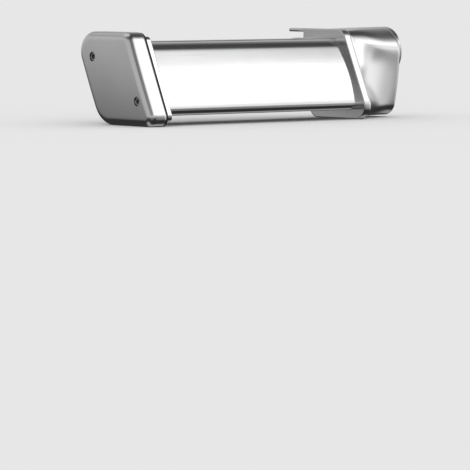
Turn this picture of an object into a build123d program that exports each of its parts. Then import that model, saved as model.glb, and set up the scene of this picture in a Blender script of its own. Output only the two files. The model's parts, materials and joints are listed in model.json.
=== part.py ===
"""Pasta cutting head: two intermeshing cutter rollers between end frames, driven by three spur gears.

+X runs along the rollers towards the drive end, +Y towards the back, +Z up.
The origin is on the supporting surface, under the middle of the machine.
"""
from build123d import *
import math
import os

os.makedirs("parts", exist_ok=True)

# ---------------------------------------------------------------- body section
section_height = 58.6
section_depth = 58.2
lean = math.tan(math.radians(25.1))       # the top of the body leans back
mid_height = section_height / 2

# ---------------------------------------------------------------- along the machine
cap_depth = 13.4                          # left end cap
body_span = 165.0                         # from the cap's rim to the housing's flange
housing_length = 47.0                     # flange to the face of the drive collar
overall_length = cap_depth + body_span + housing_length
cap_face_x = -overall_length / 2
seam_x = cap_face_x + cap_depth
flange_x = seam_x + body_span
collar_face_x = overall_length / 2

# ---------------------------------------------------------------- walls and plates
cap_wall = 2.4
left_frame_thickness = 6.8
left_frame_inset = 2.8
right_frame_thickness = 5.5
frame_edge_fillet = 0.8
seal_inset = 0.4
seal_width = 1.2                          # rubber seal round the left frame, against the cap's rim
panel_inset = 5.2
panel_thickness = 0.9
panel_top = 22.6                          # both covers end level, below the cap and the flange
panel_bottom = -23.0
sheet_gap = 0.1
right_frame_inset = panel_inset + panel_thickness + 2 * sheet_gap
right_frame_top = panel_top - panel_thickness - 2 * sheet_gap
left_inner_x = seam_x + left_frame_thickness
right_inner_x = flange_x - right_frame_thickness
cap_radii = (8.0, 12.5, 18.0, 6.0)        # front top, back top, back bottom, front bottom
cap_edge_fillet = 4.6
housing_radii = (8.0, 6.0, 8.0, 6.0)
frame_radii = (4.0, 8.0, 12.0, 3.5)
frame_corner_radii = (2.0, 2.0, 2.0, 2.0)

# ---------------------------------------------------------------- cutter rollers
roller_spacing = 20.0
roller_z = -3.2                           # roller axes, measured from mid height
nip_y = lean * roller_z
front_axis = (nip_y - roller_spacing / 2, roller_z)
rear_axis = (nip_y + roller_spacing / 2, roller_z)
ring_radius = 10.5                        # the rings overlap by 1 mm at the nip
core_radius = 8.9
strand_width = 6.6
strand_count = 21
ring_width = strand_width - 0.1
cutter_mid_x = seam_x + body_span / 2
roller_gap = 2.4                          # end frame to roller shoulder
journal_radius = 4.0
running_clearance = 0.06
press_gap = 0.02                          # bushes and screws modelled just clear of their holes
journal_end_gap = 0.6                     # outer face of the left frame to the journal ends

# ---------------------------------------------------------------- bushes
bush_radius = 6.0
bush_flange_radius = 7.4
bush_flange = 1.5
washer_radius = 6.8
washer_bore_gap = 0.3
washer_thickness = 0.5
thrust_gap = 0.1

# ---------------------------------------------------------------- gear train
gear_module = 1.0
roller_teeth = 20
pinion_teeth = 16
pressure_angle = math.radians(25)
backlash = 0.16
addendum = 0.95 * gear_module
dedendum = 1.25 * gear_module
tooth_foot = 0.3                          # each tooth is drawn this far below the root circle
gear_x = flange_x + 1.8
gear_width = 8.0
pinion_centre_distance = gear_module * (roller_teeth + pinion_teeth) / 2
pinion_bearing = 70.5                     # direction from front gear to pinion, degrees from +Y
drive_axis = (
    front_axis[0] + pinion_centre_distance * math.cos(math.radians(pinion_bearing)),
    front_axis[1] + pinion_centre_distance * math.sin(math.radians(pinion_bearing)),
)
gear_seat_radius = 3.3
gear_flat = 2.6                           # distance from the axis to the drive flat
gear_seat_gap = 0.03
gear_seat_overhang = 2.4                  # the seat carries on past the gear for its clip
roller_groove_radius = 2.0
roller_clip_radius = 5.0
pinion_groove_radius = 3.2
pinion_clip_radius = 6.0
clip_thickness = 0.8
clip_gap = 0.05

# ---------------------------------------------------------------- drive shaft and hub
shaft_tip_radius = 2.5
shaft_tip_bush_radius = 3.8
shaft_tip_bush_length = 2.8               # ends short of the tie rod screw above it
shaft_tip_pocket = 4.5                    # depths and reaches into the right frame
shaft_tip_bush_reach = 4.4
shaft_tip_reach = 4.2
pinion_seat_radius = 4.0
pinion_flat = 3.2
shaft_radius = 6.0
drive_journal_radius = 7.0
drive_journal_length = 12.4
drive_bush_radius = 9.0
drive_bush_length = 10.8
drive_bush_setback = 11.0                 # setbacks from the end of the shaft
bush_bore_setback = 16.0
hub_boss_setback = 14.0
drive_socket = 7.2                        # square socket, across flats
drive_socket_depth = 12.0
collar_radius = 16.5
collar_bore_radius = 11.0
collar_proud = 3.0
shaft_end_x = collar_face_x - 8.0
bore_start_x = shaft_end_x + 0.2
hub_end_x = collar_face_x - collar_proud
hub_boss_radius = 12.4

# ---------------------------------------------------------------- gear housing
flange_thickness = 6.4
flange_radii = (8.0, 2.5, 1.5, 3.0, 8.0, 6.0)
flange_edge_fillet = 2.0
notch_y = 24.75                           # the flange is notched behind this line, under its lip
notch_z = 22.8
lip_end_y = 39.39
lip_thickness = 2.3
lip_width = 4.4
lip_tip_radius = 1.1
hub_edge_fillet = 2.2
housing_wall = 2.4
housing_floor = 1.6
housing_inset = 1.2                       # step from the flange's rim to the housing
hub_half_top = 19.0
hub_half_bottom = 11.7
hub_top_z = 30.3
hub_bottom_z = -28.0
hub_radii = (16.5, 16.5, 4.0, 4.0)

# ---------------------------------------------------------------- tie rods and screws
rod_radius = 2.6
rod_gap = 0.1
bend_radius = rod_radius + rod_gap + panel_thickness / 2
screw_radius = 1.25
screw_head_radius = 2.2
screw_gap = 0.05
countersink_depth = 1.4
cross_recess_length = 2.8
cross_recess_width = 0.6
cross_recess_depth = 0.8
rod_screw_length = 13.0
cap_screw_radius = 1.5
cap_screw_well_gap = 0.35
cap_screw_clearance = 0.2
cap_screw_extra = 1.4                     # shank length beyond the depth of the cap
cap_screw_head_radius = 2.7
cap_screw_head_height = 2.2
cap_screw_sink = 1.0                      # from the cap's face to the screw heads
cap_screw_hole_depth = 5.0
cap_boss_radius = 4.6
hex_key_half = 1.5
hex_key_depth = 1.4
housing_boss_radius = 3.6
housing_boss_length = 11.0
housing_screw_hole_depth = 9.0
housing_screw_sink = 0.4                  # from the right frame's inner face to the screw heads
housing_screw_clearance = 0.15
housing_screw_well_gap = 0.2
cap_screw_points = ((-25.5, -13.5), (20.5, 13.5))
housing_screw_points = ((25.5, 18.0), (-17.5, -18.5), (3.0, -19.0))


def across(x):
    """Plane square to the rollers at x, with local x to the back and local y up from mid height."""
    return Plane(origin=(x, 0, mid_height), x_dir=(0, 1, 0), z_dir=(1, 0, 0))


def axis_point(x, axis):
    """Point in the machine's frame for an axis given from mid height."""
    return (x, axis[0], mid_height + axis[1])


def leaning_corners(inset, top, bottom):
    """Front top, back top, back bottom and front bottom of a section between two heights."""
    half_depth = section_depth / 2 - inset * math.hypot(1, lean)
    return [
        (-half_depth + lean * top, top),
        (half_depth + lean * top, top),
        (half_depth + lean * bottom, bottom),
        (-half_depth + lean * bottom, bottom),
    ]


def body_corners(inset):
    """Corners of the body's section moved inwards by inset."""
    half_height = section_height / 2 - inset
    return leaning_corners(inset, half_height, -half_height)


def rounded_outline(x, corners, radii, shrink=0.0):
    """Closed outline with its own radius at each corner, offset inwards by shrink."""
    with BuildSketch(across(x)) as outline:
        with BuildLine():
            FilletPolyline(*corners, radius=list(radii), close=True)
        make_face()
        if shrink:
            offset(amount=-shrink)
    return outline.sketch


def body_outline(x, inset, radii):
    """The leaning section at x, inset from the outer surface."""
    return rounded_outline(x, body_corners(inset), radii)


def right_frame_outline(gap=0.0):
    """The right end frame's outline, moved outwards by gap, at gap before its inner face."""
    bottom = right_frame_inset - section_height / 2
    corners = leaning_corners(right_frame_inset - gap, right_frame_top + gap, bottom - gap)
    return rounded_outline(right_inner_x - gap, corners, frame_corner_radii)


def housing_outline(share, shrink=0.0):
    """Housing section between the flange (share 0) and the round hub (share 1)."""
    ease = 1 - (1 - share) ** 2.2
    centre = drive_axis[0]
    hub = [
        (centre - hub_half_top, hub_top_z),
        (centre + hub_half_top, hub_top_z),
        (centre + hub_half_bottom, hub_bottom_z),
        (centre - hub_half_bottom, hub_bottom_z),
    ]
    corners = [
        tuple(a + ease * (b - a) for a, b in zip(near, far))
        for near, far in zip(body_corners(housing_inset), hub)
    ]
    radii = [near + ease * (far - near) for near, far in zip(housing_radii, hub_radii)]
    start = flange_x + flange_thickness
    return rounded_outline(start + share * (hub_end_x - start), corners, radii, shrink)


def involute_tooth(teeth):
    """Outline of one tooth centred on local +x, from below the root circle to the tip."""
    pitch_radius = gear_module * teeth / 2
    base_radius = pitch_radius * math.cos(pressure_angle)
    tip_radius = pitch_radius + addendum
    root_radius = pitch_radius - dedendum
    half_angle = (math.pi * gear_module / 2 - backlash) / (2 * pitch_radius)
    at_pitch = math.tan(pressure_angle) - pressure_angle
    flank = [(root_radius - tooth_foot, half_angle + at_pitch)]
    steps = 5
    for step in range(steps + 1):
        radius = base_radius + (tip_radius - base_radius) * step / steps
        roll = math.acos(base_radius / radius)
        flank.append((radius, half_angle + at_pitch - (math.tan(roll) - roll)))
    upper = [(r * math.cos(a), r * math.sin(a)) for r, a in flank]
    lower = [(y, -z) for y, z in reversed(upper)]
    return upper + lower


def spur_gear(teeth, axis, phase, seat_radius, seat_flat):
    """Spur gear with a flatted bore; phase is the angle of one tooth centre in degrees."""
    root_radius = gear_module * teeth / 2 - dedendum
    with BuildPart() as gear:
        with BuildSketch(across(gear_x)):
            with Locations(axis):
                Circle(root_radius)
            with Locations(Location((axis[0], axis[1], 0))):
                with PolarLocations(0, teeth, start_angle=phase):
                    Polygon(*involute_tooth(teeth), align=None)
            with Locations(axis):
                add(flatted_circle(seat_radius + gear_seat_gap, seat_flat + gear_seat_gap),
                    mode=Mode.SUBTRACT)
        extrude(amount=gear_width)
    return gear.part


def flatted_circle(radius, flat):
    """Circle with one flat on its upper side."""
    with BuildSketch() as seat:
        Circle(radius)
        with Locations((0, flat)):
            Rectangle(3 * radius, 3 * radius, align=(Align.CENTER, Align.MIN), mode=Mode.SUBTRACT)
    return seat.sketch


def retaining_clip(x, axis, groove_radius, outer_radius):
    """Open ring that snaps into a shaft groove."""
    with BuildPart() as clip:
        with BuildSketch(across(x)):
            with Locations(axis):
                Circle(outer_radius)
                Circle(groove_radius + press_gap, mode=Mode.SUBTRACT)
                Rectangle(1.3 * groove_radius, 2 * outer_radius,
                          align=(Align.CENTER, Align.MAX), mode=Mode.SUBTRACT)
        extrude(amount=clip_thickness)
    return clip.part


def turned_steps(axis, steps):
    """Solid of revolution about an axis along x, from (x start, x end, radius) steps."""
    with BuildPart() as turned:
        for start, end, radius in steps:
            with BuildSketch(across(start)):
                with Locations(axis):
                    Circle(radius)
            extrude(amount=end - start)
    return turned.part


def ring_tube(x, length, axis, outer, inner):
    """Plain tube along x."""
    with BuildPart() as tube:
        with BuildSketch(across(x)):
            with Locations(axis):
                Circle(outer)
                Circle(inner, mode=Mode.SUBTRACT)
        extrude(amount=length)
    return tube.part


def clip_groove(x, axis, seat_radius, groove_radius):
    """Ring of material to cut away for a retaining clip that starts at x."""
    return ring_tube(x - clip_gap, clip_thickness + 2 * clip_gap, axis, seat_radius + 1, groove_radius)


def save(name, part):
    """Label a finished piece and write it."""
    part.label = name
    export_step(part, f"parts/{name}.step")


# ================================================================ panel paths
def front_face_y(z, inset):
    """Where the leaning front face lies at height z, inset from the outer surface."""
    return -section_depth / 2 + inset * math.hypot(1, lean) + lean * z


path_inset = panel_inset + panel_thickness / 2
path_top = panel_top - panel_thickness / 2
path_bottom = panel_bottom + panel_thickness / 2
front_lip_y = -2.9
front_lip_bottom = 11.5
front_turn_in_y = -12.0
front_top_bend = 7.4
rear_turn_in_y = 5.0
chute_bottom_z = 9.6                      # foot of the rear cover's slope towards the rollers
chute_top_y = 21.0
rear_bend = 4.0
front_panel_path = (
    (front_lip_y, front_lip_bottom),
    (front_lip_y, path_top),
    (front_face_y(path_top, path_inset), path_top),
    (front_face_y(path_bottom, path_inset), path_bottom),
    (front_turn_in_y, path_bottom),
)
front_panel_bends = (bend_radius, front_top_bend, bend_radius)
rear_panel_path = (
    (rear_turn_in_y, chute_bottom_z),
    (chute_top_y, path_top),
    (-front_face_y(-path_top, path_inset), path_top),
    (-front_face_y(-path_bottom, path_inset), path_bottom),
    (rear_turn_in_y, path_bottom),
)
rear_panel_bends = (rear_bend, rear_bend, bend_radius)

lower_rod_z = path_bottom + bend_radius
lower_rod_reach = bend_radius * math.hypot(1, lean)
rear_upper_rod_axis = (17.5, 8.5)
rod_axes = {
    "front_upper_rod": (front_lip_y - bend_radius, path_top - bend_radius),
    "front_lower_rod": (front_face_y(lower_rod_z, path_inset) + lower_rod_reach, lower_rod_z),
    "rear_upper_rod": rear_upper_rod_axis,
    "rear_lower_rod": (-front_face_y(-lower_rod_z, path_inset) - lower_rod_reach, lower_rod_z),
}


def sheet_cover(path, bends):
    """Bent sheet cover from the left frame to the flange, its lips cut back at the right frame."""
    with BuildPart() as cover:
        with BuildSketch(across(left_inner_x)):
            with BuildLine():
                FilletPolyline(*path, radius=list(bends))
            trace(line_width=panel_thickness)
        extrude(amount=flange_x - left_inner_x)
        clearance = right_frame_outline(sheet_gap)
        add(extrude(clearance, amount=right_frame_thickness + 2 * sheet_gap), mode=Mode.SUBTRACT)
    return cover.part


save("front_panel", sheet_cover(front_panel_path, front_panel_bends))
save("rear_panel", sheet_cover(rear_panel_path, rear_panel_bends))

# ================================================================ left end cap
with BuildPart() as left_end_cap:
    add(extrude(body_outline(cap_face_x, 0, cap_radii), amount=cap_depth))
    face_edges = left_end_cap.faces().sort_by(Axis.X)[0].edges()
    fillet(face_edges, cap_edge_fillet)
    pocket = body_outline(cap_face_x + cap_wall, cap_wall, [r - cap_wall for r in cap_radii])
    add(extrude(pocket, amount=cap_depth), mode=Mode.SUBTRACT)
    for point in cap_screw_points:
        with BuildSketch(across(cap_face_x + cap_wall)):
            with Locations(point):
                Circle(cap_boss_radius)
        extrude(amount=cap_depth - cap_wall)
        with BuildSketch(across(cap_face_x)):
            with Locations(point):
                Circle(cap_screw_head_radius + cap_screw_well_gap)
        extrude(amount=cap_screw_sink + cap_screw_head_height, mode=Mode.SUBTRACT)
        with BuildSketch(across(cap_face_x)):
            with Locations(point):
                Circle(cap_screw_radius + cap_screw_clearance)
        extrude(amount=cap_depth, mode=Mode.SUBTRACT)
save("left_end_cap", left_end_cap.part)


def cap_screws(points, x, shank_length):
    """Socket head screws pointing along +x, their heads starting at x."""
    with BuildPart() as screws:
        for point in points:
            with BuildSketch(across(x)):
                with Locations(point):
                    Circle(cap_screw_head_radius)
            extrude(amount=cap_screw_head_height)
            with BuildSketch(across(x)):
                with Locations(point):
                    RegularPolygon(hex_key_half, 6, major_radius=False)
            extrude(amount=hex_key_depth, mode=Mode.SUBTRACT)
            with BuildSketch(across(x + cap_screw_head_height)):
                with Locations(point):
                    Circle(cap_screw_radius)
            extrude(amount=shank_length)
    return screws.part


save("end_cap_screws",
     cap_screws(cap_screw_points, cap_face_x + cap_screw_sink, cap_depth + cap_screw_extra))

# ================================================================ cap seal
with BuildPart() as cap_seal:
    add(extrude(body_outline(seam_x, seal_inset, [r - seal_inset for r in cap_radii]),
                amount=seal_width))
    add(extrude(body_outline(seam_x, left_frame_inset, frame_radii), amount=seal_width),
        mode=Mode.SUBTRACT)
save("cap_seal", cap_seal.part)

# ================================================================ cutter positions
strand_offsets = [(i - (strand_count - 1) / 2) * strand_width for i in range(strand_count)]
front_rings = strand_offsets[0::2]
rear_rings = strand_offsets[1::2]
core_start = left_inner_x + roller_gap
core_end = right_inner_x - roller_gap

# ================================================================ combs
comb_gap = 0.1
comb_plate_top = roller_z - ring_radius - 0.4
comb_plate_thickness = 1.6
comb_slot_depth = 1.2
finger_width = 5.9
finger_clearance = 0.35
finger_height = 6.0
finger_overlap = 2.5                      # the fingers reach this far past the roller's axis
outlet_half = 4.3
comb_front_y = -25.0
comb_back_y = 14.2
comb_edges = {
    "front_comb": (comb_front_y, nip_y - outlet_half),
    "rear_comb": (nip_y + outlet_half, comb_back_y),
}


def comb(edges, axis, groove_offsets, finger_side):
    """Stripper comb: a plate under one roller with a curved finger in each of its grooves."""
    with BuildPart() as stripper:
        with BuildSketch(across(left_inner_x - comb_slot_depth + comb_gap)):
            with Locations((edges[0], comb_plate_top)):
                Rectangle(edges[1] - edges[0], comb_plate_thickness, align=(Align.MIN, Align.MAX))
        extrude(amount=right_inner_x - left_inner_x + 2 * (comb_slot_depth - comb_gap))
        for groove in groove_offsets:
            with BuildSketch(across(cutter_mid_x + groove - finger_width / 2)):
                with Locations((finger_side[0], comb_plate_top)):
                    Rectangle(finger_side[1] - finger_side[0], finger_height,
                              align=(Align.MIN, Align.MIN))
                with Locations(axis):
                    Circle(core_radius + finger_clearance, mode=Mode.SUBTRACT)
            extrude(amount=finger_width)
    return stripper.part


front_fingers = (front_axis[0] - finger_overlap, nip_y - outlet_half)
rear_fingers = (nip_y + outlet_half, rear_axis[0] + finger_overlap)
save("front_comb", comb(comb_edges["front_comb"], front_axis, rear_rings, front_fingers))
save("rear_comb", comb(comb_edges["rear_comb"], rear_axis, front_rings, rear_fingers))


def comb_slots(x, amount):
    """Slots in an end frame's inner face that hold the ends of both combs."""
    with BuildPart() as slots:
        with BuildSketch(across(x)):
            for low, high in comb_edges.values():
                with Locations((low - comb_gap, comb_plate_top + comb_gap)):
                    Rectangle(high - low + 2 * comb_gap, comb_plate_thickness + 2 * comb_gap,
                              align=(Align.MIN, Align.MAX))
        extrude(amount=amount)
    return slots.part


# ================================================================ end frames
with BuildPart() as left_frame:
    add(extrude(body_outline(seam_x, left_frame_inset, frame_radii), amount=left_frame_thickness))
    fillet(left_frame.faces().sort_by(Axis.X)[-1].edges(), frame_edge_fillet)
    with BuildSketch(across(seam_x)):
        with Locations(front_axis, rear_axis):
            Circle(bush_radius + press_gap)
    extrude(amount=left_frame_thickness, mode=Mode.SUBTRACT)
    with BuildSketch(across(seam_x)):
        with Locations(*cap_screw_points):
            Circle(cap_screw_radius + screw_gap)
    extrude(amount=cap_screw_hole_depth, mode=Mode.SUBTRACT)
    with Locations(*[axis_point(seam_x, axis) for axis in rod_axes.values()]):
        Cone(screw_head_radius + screw_gap, screw_radius + screw_gap, countersink_depth,
             rotation=(0, 90, 0), align=(Align.CENTER, Align.CENTER, Align.MIN), mode=Mode.SUBTRACT)
        Cylinder(screw_radius + screw_gap, left_frame_thickness, rotation=(0, 90, 0),
                 align=(Align.CENTER, Align.CENTER, Align.MIN), mode=Mode.SUBTRACT)
    add(comb_slots(left_inner_x, -comb_slot_depth), mode=Mode.SUBTRACT)
save("left_frame", left_frame.part)

with BuildPart() as right_frame:
    add(extrude(right_frame_outline(), amount=right_frame_thickness))
    with BuildSketch(across(right_inner_x)):
        with Locations(front_axis, rear_axis):
            Circle(bush_radius + press_gap)
        with Locations(*housing_screw_points):
            Circle(cap_screw_radius + housing_screw_clearance)
    extrude(amount=right_frame_thickness, mode=Mode.SUBTRACT)
    with BuildSketch(across(right_inner_x)):
        with Locations(*housing_screw_points):
            Circle(cap_screw_head_radius + housing_screw_well_gap)
    extrude(amount=housing_screw_sink + cap_screw_head_height, mode=Mode.SUBTRACT)
    with BuildSketch(across(flange_x)):
        with Locations(drive_axis):
            Circle(shaft_tip_bush_radius + press_gap)
    extrude(amount=-shaft_tip_pocket, mode=Mode.SUBTRACT)
    with Locations(*[axis_point(flange_x, axis) for axis in rod_axes.values()]):
        Cone(screw_head_radius + screw_gap, screw_radius + screw_gap, countersink_depth,
             rotation=(0, -90, 0), align=(Align.CENTER, Align.CENTER, Align.MIN), mode=Mode.SUBTRACT)
        Cylinder(screw_radius + screw_gap, right_frame_thickness, rotation=(0, -90, 0),
                 align=(Align.CENTER, Align.CENTER, Align.MIN), mode=Mode.SUBTRACT)
    add(comb_slots(right_inner_x, comb_slot_depth), mode=Mode.SUBTRACT)
save("right_frame", right_frame.part)

# ================================================================ tie rods and their screws
for rod_name, rod_axis in rod_axes.items():
    with BuildPart() as tie_rod:
        with BuildSketch(across(left_inner_x)):
            with Locations(rod_axis):
                Circle(rod_radius)
        extrude(amount=right_inner_x - left_inner_x)
        for end_x, direction in ((left_inner_x, 1), (right_inner_x, -1)):
            with BuildSketch(across(end_x)):
                with Locations(rod_axis):
                    Circle(screw_radius + press_gap)
            extrude(amount=direction * rod_screw_length, mode=Mode.SUBTRACT)
    save(rod_name, tie_rod.part)


def countersunk_screws(x, turn):
    """Countersunk screws into all tie rods from one end face; turn is the angle of their axis."""
    with BuildPart() as screws:
        with Locations(*[axis_point(x, axis) for axis in rod_axes.values()]):
            Cylinder(screw_radius, rod_screw_length, rotation=(0, turn, 0),
                     align=(Align.CENTER, Align.CENTER, Align.MIN))
            Cone(screw_head_radius, screw_radius, countersink_depth - screw_gap, rotation=(0, turn, 0),
                 align=(Align.CENTER, Align.CENTER, Align.MIN))
            Box(2 * cross_recess_depth, cross_recess_length, cross_recess_width, mode=Mode.SUBTRACT)
            Box(2 * cross_recess_depth, cross_recess_width, cross_recess_length, mode=Mode.SUBTRACT)
    return screws.part


save("left_rod_screws", countersunk_screws(seam_x, 90))
save("right_rod_screws", countersunk_screws(flange_x, -90))

# ================================================================ cutter rollers
gear_end_x = gear_x + gear_width
seat_start_x = gear_x - thrust_gap
seat_end_x = gear_end_x + gear_seat_overhang
clip_x = gear_end_x + thrust_gap


def cutter_roller(axis, rings):
    """One-piece roller: grooved cutting body, two journals and a flatted gear seat."""
    with BuildPart() as roller:
        add(turned_steps(axis, (
            (core_start, core_end, core_radius),
            (seam_x + journal_end_gap, core_start, journal_radius),
            (core_end, seat_start_x, journal_radius),
        )))
        for ring in rings:
            with BuildSketch(across(cutter_mid_x + ring - ring_width / 2)):
                with Locations(axis):
                    Circle(ring_radius)
            extrude(amount=ring_width)
        with BuildSketch(across(seat_start_x)):
            with Locations(axis):
                add(flatted_circle(gear_seat_radius, gear_flat))
        extrude(amount=seat_end_x - seat_start_x)
        add(clip_groove(clip_x, axis, gear_seat_radius, roller_groove_radius), mode=Mode.SUBTRACT)
    return roller.part


save("front_cutter_roller", cutter_roller(front_axis, front_rings))
save("rear_cutter_roller", cutter_roller(rear_axis, rear_rings))

# ================================================================ bushes and washers
bush_bore = journal_radius + running_clearance


def flanged_bush(axis, body_start, body_end, flange_start):
    """Bronze bush for a roller journal with a thrust flange on its inner side."""
    with BuildPart() as bush:
        add(ring_tube(body_start, body_end - body_start, axis, bush_radius, bush_bore))
        add(ring_tube(flange_start, bush_flange, axis, bush_flange_radius, bush_bore))
    return bush.part


for side, axis in (("front", front_axis), ("rear", rear_axis)):
    save(f"{side}_left_bush", flanged_bush(axis, seam_x, left_inner_x, left_inner_x))
    save(f"{side}_right_bush",
         flanged_bush(axis, right_inner_x, flange_x, right_inner_x - bush_flange))

with BuildPart() as thrust_washers:
    for washer_x in (left_inner_x + bush_flange + thrust_gap,
                     right_inner_x - bush_flange - thrust_gap - washer_thickness):
        for axis in (front_axis, rear_axis):
            add(ring_tube(washer_x, washer_thickness, axis, washer_radius,
                          journal_radius + washer_bore_gap))
save("thrust_washers", thrust_washers.part)

# ================================================================ gears
tooth_pitch = 360 / roller_teeth
pinion_offset = round(pinion_bearing / tooth_pitch) * tooth_pitch - pinion_bearing
pinion_phase = pinion_bearing + 180 - pinion_offset * roller_teeth / pinion_teeth - 180 / pinion_teeth
save("front_roller_gear", spur_gear(roller_teeth, front_axis, 0, gear_seat_radius, gear_flat))
save("rear_roller_gear",
     spur_gear(roller_teeth, rear_axis, tooth_pitch / 2, gear_seat_radius, gear_flat))
save("drive_pinion", spur_gear(pinion_teeth, drive_axis, pinion_phase, pinion_seat_radius, pinion_flat))
for side, axis in (("front", front_axis), ("rear", rear_axis)):
    save(f"{side}_gear_clip", retaining_clip(clip_x, axis, roller_groove_radius, roller_clip_radius))

# ================================================================ drive shaft
tip_start = flange_x - shaft_tip_reach
tip_end = flange_x + 0.3
pinion_seat_x = gear_x - clip_gap
pinion_clip_x = gear_x - thrust_gap - clip_thickness
journal_start = shaft_end_x - drive_journal_length
with BuildPart() as drive_shaft:
    add(turned_steps(drive_axis, (
        (tip_start, tip_end, shaft_tip_radius),
        (tip_end, pinion_seat_x, pinion_seat_radius),
        (gear_end_x + thrust_gap, journal_start, shaft_radius),
        (journal_start, shaft_end_x, drive_journal_radius),
    )))
    with BuildSketch(across(pinion_seat_x)):
        with Locations(drive_axis):
            add(flatted_circle(pinion_seat_radius, pinion_flat))
    extrude(amount=gear_end_x + thrust_gap - pinion_seat_x)
    add(clip_groove(pinion_clip_x, drive_axis, pinion_seat_radius, pinion_groove_radius),
        mode=Mode.SUBTRACT)
    with BuildSketch(across(shaft_end_x)):
        with Locations(drive_axis):
            Rectangle(drive_socket, drive_socket)
    extrude(amount=-drive_socket_depth, mode=Mode.SUBTRACT)
    rim = drive_shaft.faces().sort_by(Axis.X)[-1].edges().filter_by(GeomType.CIRCLE)
    chamfer(rim, 0.5)
save("drive_shaft", drive_shaft.part)
save("pinion_clip", retaining_clip(pinion_clip_x, drive_axis, pinion_groove_radius,
                                   pinion_clip_radius))
save("shaft_tip_bush",
     ring_tube(flange_x - shaft_tip_bush_reach, shaft_tip_bush_length, drive_axis,
               shaft_tip_bush_radius, shaft_tip_radius + running_clearance))
save("drive_bush",
     ring_tube(shaft_end_x - drive_bush_setback, drive_bush_length, drive_axis, drive_bush_radius,
               drive_journal_radius + running_clearance))

# ================================================================ gear housing
gear_room = 0.5                           # round the tips of the gears, in the housing's floor
pinion_room = 0.2
outer_steps = (0.0, 0.2, 0.45, 0.72, 1.0)
cavity_steps = (0.0, 0.2, 0.45, 0.72, 0.9)


def notch_block(margin):
    """Space behind and above the housing's step, moved outwards by margin."""
    with BuildPart() as block:
        with BuildSketch(across(flange_x)):
            with Locations((notch_y - margin, notch_z - margin)):
                Rectangle(section_depth, section_height, align=(Align.MIN, Align.MIN))
        extrude(amount=housing_length)
    return block.part


def housing_body(steps, shrink):
    """Body between the flange and the hub, stepped down at its back so that the notch stays open."""
    with BuildPart() as body:
        loft([housing_outline(share, shrink) for share in steps])
        if shrink:
            start = housing_outline(0.0, shrink)
            add(extrude(start, amount=-(flange_thickness - housing_floor)))
        else:
            fillet(body.faces().sort_by(Axis.X)[-1].edges(), hub_edge_fillet)
        add(notch_block(shrink), mode=Mode.SUBTRACT)
    return body.part


front_top, back_top, back_bottom, front_bottom = body_corners(0)
flange_corners = (
    front_top,
    (notch_y, front_top[1]),
    (notch_y, notch_z),
    (section_depth / 2 + lean * notch_z, notch_z),
    back_bottom,
    front_bottom,
)
with BuildPart() as gear_housing:
    add(extrude(rounded_outline(flange_x, flange_corners, flange_radii), amount=flange_thickness))
    fillet(gear_housing.faces().sort_by(Axis.X)[-1].edges(), flange_edge_fillet)
    with BuildSketch(across(flange_x)) as lip:
        with Locations((lip_end_y, section_height / 2)):
            Rectangle(lip_end_y - notch_y + flange_radii[1] + 1, lip_thickness,
                      align=(Align.MAX, Align.MAX))
        fillet(lip.vertices().group_by(Axis.Y)[-1], lip_tip_radius)
    extrude(amount=lip_width)
    add(housing_body(outer_steps, 0.0))
    add(housing_body(cavity_steps, housing_wall), mode=Mode.SUBTRACT)
    with BuildSketch(across(shaft_end_x - hub_boss_setback)):
        with Locations(drive_axis):
            Circle(hub_boss_radius)
    extrude(until=Until.NEXT)
    for point in housing_screw_points:
        with BuildSketch(across(flange_x)):
            with Locations(point):
                Circle(housing_boss_radius)
        extrude(amount=housing_boss_length)
        with BuildSketch(across(flange_x)):
            with Locations(point):
                Circle(cap_screw_radius + screw_gap)
        extrude(amount=housing_screw_hole_depth, mode=Mode.SUBTRACT)
    with BuildSketch(across(flange_x)):
        with Locations(front_axis, rear_axis):
            Circle(gear_module * roller_teeth / 2 + addendum + gear_room)
        with Locations(drive_axis):
            Circle(gear_module * pinion_teeth / 2 + addendum + pinion_room)
    extrude(amount=housing_floor, mode=Mode.SUBTRACT)
    for start_x, radius in ((shaft_end_x - bush_bore_setback, drive_bush_radius + press_gap),
                            (bore_start_x, collar_bore_radius)):
        with BuildSketch(across(start_x)):
            with Locations(drive_axis):
                Circle(radius)
        extrude(amount=hub_end_x - start_x + 1, mode=Mode.SUBTRACT)
save("gear_housing", gear_housing.part)

with BuildPart() as drive_collar:
    add(ring_tube(hub_end_x, collar_proud, drive_axis, collar_radius, collar_bore_radius))
    collar_rims = drive_collar.faces().sort_by(Axis.X)[-1].edges().sort_by(SortBy.RADIUS)
    chamfer(collar_rims[0], 0.4)
    chamfer(collar_rims[-1], 1.0)
save("drive_collar", drive_collar.part)

save("housing_screws",
     cap_screws(housing_screw_points, right_inner_x + housing_screw_sink, housing_boss_length))
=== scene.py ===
"""Looks for the pasta cutting head: chrome shells, polished covers, turned cutters, studio and camera."""
import json
import math

import bmesh
import bpy
from mathutils import Matrix, Vector


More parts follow.
